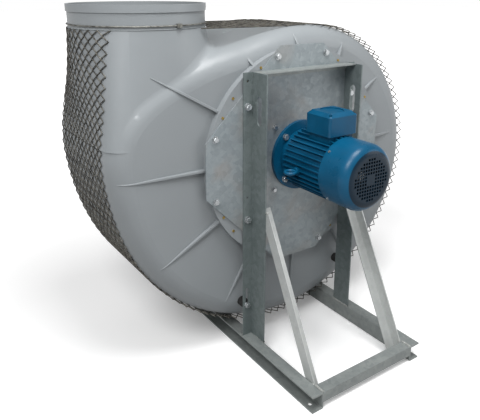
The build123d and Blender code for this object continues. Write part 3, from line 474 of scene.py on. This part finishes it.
wrap_angles = [wrap_start + i * wrap_step for i in range(int((wrap_end - wrap_start) / wrap_step) + 1)]
belt = []
for angle in wrap_angles:
    point = skin_point(angle, middle_y, 0) or belt[-1]
    if point.z < tie_height:
        belt.append((angle, point))
top_point = belt[-1][1]
tie_point = Vector((spigot_x, middle_y, tie_height - 0.008))
bridge_count = int((top_point - tie_point).length / belt_step)
for i in range(1, bridge_count):
    belt.append((wrap_end, top_point.lerp(tie_point, i / bridge_count)))
belt_lengths = [0.0]
for i in range(1, len(belt)):
    belt_lengths.append(belt_lengths[-1] + (belt[i][1] - belt[i - 1][1]).length)
tube_ring = neck_radius + 2 * wire_radius


def smooth_step(start, end, value):
    """Rises smoothly from 0 at the start to 1 at the end."""
    part = min(1.0, max(0.0, (value - start) / (end - start)))
    return part * part * (3 - 2 * part)


def wrap_point(along, y, lift):
    """A point of the strip: its place along the length, its depth y, and its height over the casing."""
    i = bisect_left(belt_lengths, along)
    if i < 1 or i >= len(belt):
        return None
    part = (along - belt_lengths[i - 1]) / max(1e-9, belt_lengths[i] - belt_lengths[i - 1])
    first, second = belt[i - 1][1], belt[i][1]
    run = (second - first).normalized()
    outward = Vector((run.z, 0, -run.x))
    point = first.lerp(second, part) + outward * lift
    angle = belt[i - 1][0]
    shifted = smooth_step(shift_start, shift_full, angle) * (1 - smooth_step(wrap_end - 25, wrap_end, angle))
    point.y = y - forward_shift * shifted
    if angle < 180:
        gather = smooth_step(0.85, tie_height, point.z)
        point.y += gather_depth * gather * (guard_high.y - y) / (guard_high.y - guard_low.y)
        hug = smooth_step(0.72, 0.80, point.z)
        hit, normal = casing_skin.ray_cast(Vector((-outside, point.y, point.z)), Vector((1, 0, 0)))[:2]
        if hit is not None:
            point = point.lerp(hit + normal * (neck_seat + lift), hug)
    depth = abs(point.y - middle_y)
    if depth < tube_ring and point.z > spigot_low.z - 0.05 and angle > 360:
        if point.x < spigot_x + sqrt(tube_ring ** 2 - depth ** 2):
            return None
    elif angle > 360 and point.x < spigot_x + tube_ring * 0.35:
        return None
    return point


link_step = link_pitch / 2
step_total = int(belt_lengths[-1] / link_step)
strands = []
for k in range(strand_count):
    near = guard_low.y + k * strand_width
    run = []
    for i in range(step_total):
        high_side = (i + k) % 2 == 1
        y_here = near + (strand_width if high_side else 0.0)
        y_next = near + (0.0 if high_side else strand_width)
        overlap = wire_radius * 0.8
        y_here += overlap if high_side else -overlap
        y_next += -overlap if high_side else overlap
        rise = weave_rise if i % 2 == 0 else -weave_rise
        slope = y_next - y_here
        bend = knuckle / link_step
        for part, lift in ((0.0, 0.0), (bend, rise * 0.5), (0.5, rise), (1 - bend, rise * 0.5)):
            point = wrap_point((i + part) * link_step + 0.001, y_here + slope * part, wire_seat + lift)
            if point is None:
                if len(run) > 3:
                    strands.append(run)
                run = []
            else:
                run.append(point)
    if len(run) > 3:
        strands.append(run)


def drawn_wire(name, dark, light, roughness):
    """Weathered galvanised wire: dull grey-brown with brighter worn places."""
    material, tree, surface, place = new_material(name)
    wear = add_node(tree, "ShaderNodeTexNoise", {"Scale": 60.0, "Detail": 3.0}, {"Vector": place})
    fac = add_node(tree, "ShaderNodeMapRange", {1: 0.35, 2: 0.7}, {0: wear.outputs["Fac"]})
    tree.links.new(blend_colours(tree, fac.outputs[0], dark, light), surface.inputs["Base Color"])
    surface.inputs["Roughness"].default_value = roughness
    surface.inputs["Metallic"].default_value = 0.6
    return material


# The strip's wire: weathered, and darkened further as painted shade.
weathered_and_painted_shade_wire = drawn_wire("galvanised_wire", wire_dark, wire_light, 0.42)
chain_link = grown("chain_link", line_mesh("chain_link", strands), wires,
                   {"Radius": wire_radius, "Sides": 5, "Unevenness": 0.0},
                   weathered_and_painted_shade_wire, "stand")
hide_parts("guard_mesh", "guard_bridge")

# The edge wire and the rope: a line wire is threaded through the strip's front and back edges over the
# bridge, and a laid wire rope with a pressed clamp ties the strip to the foot of the outlet spigot.
edge_paths = []
for y in (guard_low.y + wire_radius, guard_high.y - wire_radius):
    path = []
    for i in range(46):
        point = wrap_point(belt_lengths[-1] - 0.55 + i * 0.012, y, wire_seat)
        if point is not None:
            path.append(point)
    edge_paths.append(path)
grown("edge_wires", line_mesh("edge_wires", edge_paths), wires,
      {"Radius": wire_radius * 1.1, "Sides": 8}, weathered_and_painted_shade_wire, "stand")

rope_low, rope_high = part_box("guard_cable")
rope_radius = (rope_high.z - rope_low.z) / 2
rope_ring = (rope_high.x - rope_low.x) / 2 - rope_radius
rope_height = (rope_high.z + rope_low.z) / 2
rope_lays, rope_strands = 60, 5
rope_paths = []
for strand in range(rope_strands):
    path = []
    for i in range(900):
        turn = 2 * pi * i / 900
        lay = rope_lays * turn + 2 * pi * strand / rope_strands
        ring = rope_ring + rope_radius * 0.55 * cos(lay)
        height = rope_height + rope_radius * 0.55 * sin(lay)
        path.append((spigot_x + ring * cos(turn), middle_y + ring * sin(turn), height))
    rope_paths.append(path)
rope_steel = drawn_wire("wire_rope", "55544f", "9a9a94", 0.35)
rope = grown("wire_rope", line_mesh("wire_rope", rope_paths, closed=True), wires,
             {"Radius": rope_radius * 0.42, "Sides": 5}, rope_steel, "stand")
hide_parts("guard_cable")
finish_nodes(rope_steel, "cable_clamp")

# The buffers: moulded black rubber drums that steady the casing's lower edge against the posts.
# The rubber is matt, with a little grey bloom.
buffer_rubber = moulded_plastic("black_rubber", "161616", "232322", 0.75, 0.002)
finish_nodes(buffer_rubber, "buffer_left", "buffer_right")

# The fasteners: zinc plated hexagon bolts with plain washers on the plate, posts and motor, and small
# yellow passivated screws in the closing disc's rim. Each head has the usual round chamfer on its crown.
zinc_bright, zinc_worn = "cfd2d4", "9fa3a5"
yellow_light, yellow_dark = "b79f5e", "8a743c"


def plated(name, dark, light, roughness):
    """Electroplated zinc: bright, a little uneven where the passivation is thin."""
    material, tree, surface, place = new_material(name)
    patches = add_node(tree, "ShaderNodeTexNoise", {"Scale": 180.0, "Detail": 3.0}, {"Vector": place})
    tree.links.new(blend_colours(tree, patches.outputs["Fac"], dark, light), surface.inputs["Base Color"])
    rough = add_node(tree, "ShaderNodeMapRange", {3: roughness - 0.06, 4: roughness + 0.1},
                     {0: patches.outputs["Fac"]})
    tree.links.new(rough.outputs[0], surface.inputs["Roughness"])
    surface.inputs["Metallic"].default_value = 0.9
    return material


plated_zinc = plated("zinc_plate_bright", zinc_worn, zinc_bright, 0.26)
yellow_zinc = plated("zinc_plate_yellow", yellow_dark, yellow_light, 0.4)


def solids_in(name):
    """Lowest and highest corners of each separate solid in a CAD node."""
    mesh = frame["nodes"][name].data
    group = {}

    def root(key):
        while group[key] != key:
            key = group[key]
        return key

    keys = [tuple(round(c, 6) for c in v.co) for v in mesh.vertices]
    for key in keys:
        group.setdefault(key, key)
    for face in mesh.polygons:
        first = root(keys[face.vertices[0]])
        for i in face.vertices[1:]:
            group[root(keys[i])] = first
    boxes = {}
    for key in group:
        low, high = boxes.setdefault(root(key), ([9, 9, 9], [-9, -9, -9]))
        for i in range(3):
            low[i] = min(low[i], key[i])
            high[i] = max(high[i], key[i])
    return [(Vector(low), Vector(high)) for low, high in boxes.values()]


def bolt_tree(name):
    """A tree that sets a washer, a six-sided head with a chamfered crown and a shank on each point."""
    tree = bpy.data.node_groups.new(name, "GeometryNodeTree")
    face = tree.interface
    face.new_socket("Geometry", in_out="INPUT", socket_type="NodeSocketGeometry")
    sizes = (("Corner Radius", 0.01), ("Head Height", 0.008), ("Washer Radius", 0.012),
             ("Washer Height", 0.002), ("Shank Radius", 0.005), ("Shank Length", 0.02))
    for label, value in sizes:
        face.new_socket(label, in_out="INPUT", socket_type="NodeSocketFloat").default_value = value
    face.new_socket("Head Sides", in_out="INPUT", socket_type="NodeSocketInt").default_value = 6
    face.new_socket("Seed", in_out="INPUT", socket_type="NodeSocketInt").default_value = 7
    face.new_socket("Material", in_out="INPUT", socket_type="NodeSocketMaterial")
    face.new_socket("Geometry", in_out="OUTPUT", socket_type="NodeSocketGeometry")
    given = add_node(tree, "NodeGroupInput")

    def figure(operation, a, b):
        node = add_node(tree, "ShaderNodeMath", {"operation": operation})
        for i, value in enumerate((a, b)):
            if isinstance(value, (int, float)):
                node.inputs[i].default_value = value
            else:
                tree.links.new(value, node.inputs[i])
        return node.outputs[0]

    def drum(sides, low_radius, high_radius, height, foot):
        cone = add_node(tree, "GeometryNodeMeshCone")
        for socket, value in (("Vertices", sides), ("Radius Top", high_radius), ("Radius Bottom", low_radius),
                              ("Depth", height)):
            if isinstance(value, (int, float)):
                cone.inputs[socket].default_value = value
            else:
                tree.links.new(value, cone.inputs[socket])
        lift = add_node(tree, "ShaderNodeCombineXYZ")
        if isinstance(foot, (int, float)):
            lift.inputs[2].default_value = foot
        else:
            tree.links.new(foot, lift.inputs[2])
        moved = add_node(tree, "GeometryNodeTransform",
                         links={"Geometry": cone.outputs[0], "Translation": lift.outputs[0]})
        return moved.outputs[0]

    crown = figure("MULTIPLY", given.outputs["Head Height"], 0.16)
    body_height = figure("SUBTRACT", given.outputs["Head Height"], crown)
    crown_foot = figure("ADD", given.outputs["Washer Height"], body_height)
    crown_radius = figure("MULTIPLY", given.outputs["Corner Radius"], 0.87)
    washer_edge = figure("MULTIPLY", given.outputs["Washer Radius"], 0.96)
    down = figure("MULTIPLY", given.outputs["Shank Length"], -1.0)
    sides = given.outputs["Head Sides"]
    corner = given.outputs["Corner Radius"]
    shank = given.outputs["Shank Radius"]
    pieces = [
        drum(28, given.outputs["Washer Radius"], washer_edge, given.outputs["Washer Height"], 0.0),
        drum(sides, corner, corner, body_height, given.outputs["Washer Height"]),
        drum(sides, corner, crown_radius, crown, crown_foot),
        drum(16, shank, shank, given.outputs["Shank Length"], down)]
    joined = tree.nodes.new("GeometryNodeJoinGeometry")
    for piece in pieces:
        tree.links.new(piece, joined.inputs[0])
    dots = add_node(tree, "GeometryNodeMeshToPoints", links={0: given.outputs["Geometry"]})
    spin = add_node(tree, "FunctionNodeRandomValue", {"data_type": "FLOAT"}, {"Seed": given.outputs["Seed"]})
    spin.inputs[3].default_value = radians(60)
    tilt = add_node(tree, "ShaderNodeCombineXYZ", {0: radians(90)})
    turn = add_node(tree, "ShaderNodeCombineXYZ", links={2: spin.outputs[1]})
    placed = add_node(tree, "GeometryNodeInstanceOnPoints",
                      links={"Points": dots.outputs[0], "Instance": joined.outputs[0],
                             "Rotation": tilt.outputs[0]})
    turned = add_node(tree, "GeometryNodeRotateInstances",
                      links={"Instances": placed.outputs[0], "Rotation": turn.outputs[0]})
    real = add_node(tree, "GeometryNodeRealizeInstances", links={0: turned.outputs[0]})
    painted = add_node(tree, "GeometryNodeSetMaterial",
                       links={0: real.outputs[0], 2: given.outputs["Material"]})
    add_node(tree, "NodeGroupOutput", links={0: painted.outputs[0]})
    return tree


bolts = bolt_tree("hexagon_bolt")
bolt_kinds = (("plate_bolts", 0.017, 0.008, 0.012, 0.0025, 0.005),
              ("inner_bolts", 0.015, 0.007, 0.010, 0.002, 0.005),
              ("post_bolts", 0.019, 0.009, 0.013, 0.0025, 0.006),
              ("motor_bolts", 0.019, 0.008, 0.011, 0.002, 0.006),
              ("buffer_bolts", 0.017, 0.008, 0.012, 0.002, 0.006))


def point_mesh(name, boxes, step):
    """A mesh with one point for each solid, this far behind the front of its head."""
    mesh = bpy.data.meshes.new(name)
    points = [((low.x + high.x) / 2, low.y + step, (low.z + high.z) / 2) for low, high in boxes]
    mesh.from_pydata(points, [], [])
    return mesh


for name, across, head, washer, washer_height, shank in bolt_kinds:
    boxes = solids_in(name)
    stack = head + washer_height
    length = boxes[0][1].y - boxes[0][0].y - stack
    piece = grown(name + "_heads", point_mesh(name, boxes, stack), bolts,
                  {"Corner Radius": across / sqrt(3), "Head Height": head, "Washer Radius": washer,
                   "Washer Height": washer_height, "Shank Radius": shank, "Shank Length": length},
                  plated_zinc, "stand")
    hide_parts(name)
ring_boxes = solids_in("ring_screws")
ring_stack = 0.0025
ring_length = ring_boxes[0][1].y - ring_boxes[0][0].y - ring_stack
ring_piece = grown("ring_screw_heads", point_mesh("ring_screws", ring_boxes, ring_stack), bolts,
                   {"Corner Radius": 0.0042, "Head Height": 0.0018, "Washer Radius": 0.005,
                    "Washer Height": 0.0007, "Shank Radius": 0.0025, "Shank Length": ring_length,
                    "Head Sides": 20}, yellow_zinc, "stand")
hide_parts("ring_screws")
finish_nodes(plated_zinc, "inlet_screws", "cowl_screws", "lid_screws", "hub_bolt")

# The impeller and the shaft: welded polypropylene blades between two discs on a turned steel hub line,
# seen only through the inlet and the outlet. The plastic is a darker grey than the casing.
impeller_grey = moulded_plastic("polypropylene_dark", "5f6466", "6f7476", 0.5, peel_size)
turned_steel = plated("machined_steel", "8f9294", "b5b8ba", 0.3)
finish_nodes(impeller_grey, "impeller_blades", "impeller_shroud", "back_disc", "impeller_hub")
finish_nodes(turned_steel, "motor_shaft", "shaft_key", "bearing_front", "bearing_rear")
felt_grey = moulded_plastic("pressed_felt", "5a5650", "6b665e", 0.9, 0.0015)
finish_nodes(felt_grey, "shaft_seal")

# The motor: cast iron flange, finned frame, end shields and terminal box, with a pressed steel fan cowl.
# All are sprayed with one coat of blue machine enamel, which shows the casting's grain on the iron.
enamel_dark, enamel_light = "003c58", "035a80"
cast_grain = 0.0035


def enamel(name, grain, strength, roughness):
    """Blue machine enamel: glossy, slightly orange-peeled, over a cast or a pressed surface."""
    material, tree, surface, place = new_material(name)
    tone = add_node(tree, "ShaderNodeTexNoise", {"Scale": 14.0, "Detail": 4.0}, {"Vector": place})
    skin = add_node(tree, "ShaderNodeTexNoise", {"Scale": 1 / grain, "Detail": 3.0}, {"Vector": place})
    colour = blend_colours(tree, tone.outputs["Fac"], enamel_dark, enamel_light)
    tree.links.new(colour, surface.inputs["Base Color"])
    rough = add_node(tree, "ShaderNodeMapRange", {1: 0.3, 2: 0.7, 3: roughness - 0.06, 4: roughness + 0.08},
                     {0: tone.outputs["Fac"]})
    tree.links.new(rough.outputs[0], surface.inputs["Roughness"])
    bump = add_node(tree, "ShaderNodeBump", {"Strength": strength, "Distance": 0.0008},
                    {"Height": skin.outputs["Fac"]})
    tree.links.new(bump.outputs[0], surface.inputs["Normal"])
    surface.inputs["Specular IOR Level"].default_value = 0.3
    return material


cast_enamel = enamel("enamel_on_cast_iron", cast_grain, 0.3, 0.38)
sheet_enamel = enamel("enamel_on_pressed_steel", 0.012, 0.06, 0.3)
finish_nodes(cast_enamel, "motor_flange", "motor_frame", "rear_endshield", "terminal_box", "terminal_lid",
             "eyebolt")
cowl_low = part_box("fan_cowl")[0]
# The cowl's end face inside the grille radius is painted nearly black: painted shade for the dark fan behind
# the grille's holes.
grille_radius, grille_depth, grille_painted_shade = 0.092, 0.012, "011f30"
tree = sheet_enamel.node_tree
surface = next(n for n in tree.nodes if n.type == "BSDF_PRINCIPLED")
place = next(n for n in tree.nodes if n.type == "TEX_COORD").outputs["Object"]
paint = surface.inputs["Base Color"].links[0].from_socket
centred = add_node(tree, "ShaderNodeMapping", {"Location": (0, -cowl_low.y, -shaft_height)},
                   {"Vector": place})
parts = add_node(tree, "ShaderNodeSeparateXYZ", links={0: centred.outputs[0]})
flat = add_node(tree, "ShaderNodeCombineXYZ", links={0: parts.outputs[0], 1: parts.outputs[2]})
reach = add_node(tree, "ShaderNodeVectorMath", {"operation": "LENGTH"}, {0: flat.outputs[0]})
inner = add_node(tree, "ShaderNodeMapRange", {1: grille_radius - 0.002, 2: grille_radius, 3: 1.0, 4: 0.0},
                 {0: reach.outputs["Value"]})
near = add_node(tree, "ShaderNodeMapRange", {1: grille_depth - 0.002, 2: grille_depth, 3: 1.0, 4: 0.0},
                {0: parts.outputs[1]})
inside = add_node(tree, "ShaderNodeMath", {"operation": "MULTIPLY"},
                  {0: inner.outputs[0], 1: near.outputs[0]})
shaded = add_node(tree, "ShaderNodeMix", {"data_type": "RGBA"}, {0: inside.outputs[0], 6: paint})
shaded.inputs[7].default_value = linear(grille_painted_shade)
tree.links.new(shaded.outputs[2], surface.inputs["Base Color"])
finish_nodes(sheet_enamel, "fan_cowl")
black_plastic = moulded_plastic("black_moulded_plastic", "141516", "1d1e1f", 0.5, 0.003)
finish_nodes(black_plastic, "cooling_fan", "terminal_block", "blank_gland")

# Inside the motor: the laminated stator and rotor cores and the copper winding ends, hidden by the frame.
# The laminations are oiled dark steel and the copper is varnished.
lamination = plated("laminated_steel", "3b3d3f", "55585a", 0.5)
copper = plated("varnished_copper", "7a3c1c", "a35a30", 0.35)
finish_nodes(lamination, "stator_core", "rotor_core")
finish_nodes(copper, "windings")

# The floor and the light: a plain white studio sweep, two soft lamps and an even white surround.
# None of it is part of the fan.
floor_white, floor_bounce = "ffffff", "a8a8a8"
glow_start, glow_end, glow_near, glow_far = 1.3, 3.6, 0.16, 1.0
floor_mesh = bpy.data.meshes.new("floor")
floor_mesh.from_pydata([(-30, -30, 0), (30, -30, 0), (30, 30, 0), (-30, 30, 0)], [], [(0, 1, 2, 3)])
floor = bpy.data.objects.new("floor", floor_mesh)
bpy.context.scene.collection.objects.link(floor)
floor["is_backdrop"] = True
floor_paint, floor_tree, floor_surface, floor_place = new_material("studio_floor")
floor_surface.inputs["Roughness"].default_value = 0.8
rays = add_node(floor_tree, "ShaderNodeLightPath")
seen = add_node(floor_tree, "ShaderNodeMath", {"operation": "MAXIMUM"},
                {0: rays.outputs["Is Camera Ray"], 1: rays.outputs["Is Glossy Ray"]})
floor_colour = blend_colours(floor_tree, rays.outputs["Is Camera Ray"], floor_bounce, floor_white)
floor_tree.links.new(floor_colour, floor_surface.inputs["Base Color"])
away = add_node(floor_tree, "ShaderNodeVectorMath", {"operation": "LENGTH"}, {0: floor_place})
far = add_node(floor_tree, "ShaderNodeMapRange", {1: glow_start, 2: glow_end, 3: glow_near, 4: glow_far},
               {0: away.outputs["Value"]})
lift = add_node(floor_tree, "ShaderNodeMath", {"operation": "MULTIPLY"},
                {0: seen.outputs[0], 1: far.outputs[0]})
glow = add_node(floor_tree, "ShaderNodeEmission", {"Color": (1, 1, 1, 1)}, {"Strength": lift.outputs[0]})
floor_mix = add_node(floor_tree, "ShaderNodeAddShader",
                     links={0: floor_surface.outputs[0], 1: glow.outputs[0]})
floor_out = next(n for n in floor_tree.nodes if n.type == "OUTPUT_MATERIAL")
floor_tree.links.new(floor_mix.outputs[0], floor_out.inputs["Surface"])
floor_mesh.materials.append(floor_paint)

world = bpy.data.worlds.new("studio")
bpy.context.scene.world = world
world.use_nodes = True
world_tree = world.node_tree
world_tree.nodes.clear()
world_rays = add_node(world_tree, "ShaderNodeLightPath")
shown = add_node(world_tree, "ShaderNodeMath", {"operation": "MAXIMUM"},
                 {0: world_rays.outputs["Is Camera Ray"], 1: world_rays.outputs["Is Transmission Ray"]})
surround = add_node(world_tree, "ShaderNodeBackground", {"Color": (1, 1, 1, 1), "Strength": 0.4})
backdrop = add_node(world_tree, "ShaderNodeBackground", {"Color": (1, 1, 1, 1), "Strength": 1.0})
world_mix = add_node(world_tree, "ShaderNodeMixShader", links={0: shown.outputs[0], 1: surround.outputs[0],
                                                              2: backdrop.outputs[0]})
add_node(world_tree, "ShaderNodeOutputWorld", links={"Surface": world_mix.outputs[0]})

lamps = (("key_light", (-2.4, -1.6, 3.4), 1.6, 84.0), ("fill_light", (3.2, -2.8, 2.0), 2.4, 24.0),
         ("top_light", (-0.2, -0.9, 3.5), 1.4, 70.0))
aim = Vector((0, 0.1, 0.6))
for name, place, size, power in lamps:
    lamp = bpy.data.lights.new(name, "AREA")
    lamp.shape = "DISK"
    lamp.size = size
    lamp.energy = power
    holder = bpy.data.objects.new(name, lamp)
    holder.location = place
    holder.rotation_mode = "QUATERNION"
    holder.rotation_quaternion = (aim - Vector(place)).to_track_quat("-Z", "Y")
    bpy.context.scene.collection.objects.link(holder)

# The camera: it stands at the motor side, a little above the shaft, as in the photograph.
# The shift follows the photograph's framing, which keeps the uprights upright.
frame_width, frame_height = 480, 420
focal_pixels = 558.0
axis_row = 150.0
camera_place = (-1.2476, -1.5146, 1.2821)
camera_pitch, camera_turn = 16.31, -34.22
lens = bpy.data.cameras.new("camera")
lens.sensor_width = 36.0
lens.lens = focal_pixels / frame_width * lens.sensor_width
lens.shift_y = (axis_row - frame_height / 2) / frame_width
camera = bpy.data.objects.new("camera", lens)
camera.location = camera_place
camera.rotation_euler = (radians(90 - camera_pitch), 0, radians(camera_turn))
bpy.context.scene.collection.objects.link(camera)
bpy.context.scene.camera = camera
bpy.context.scene.view_settings.view_transform = "Standard"

low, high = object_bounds()
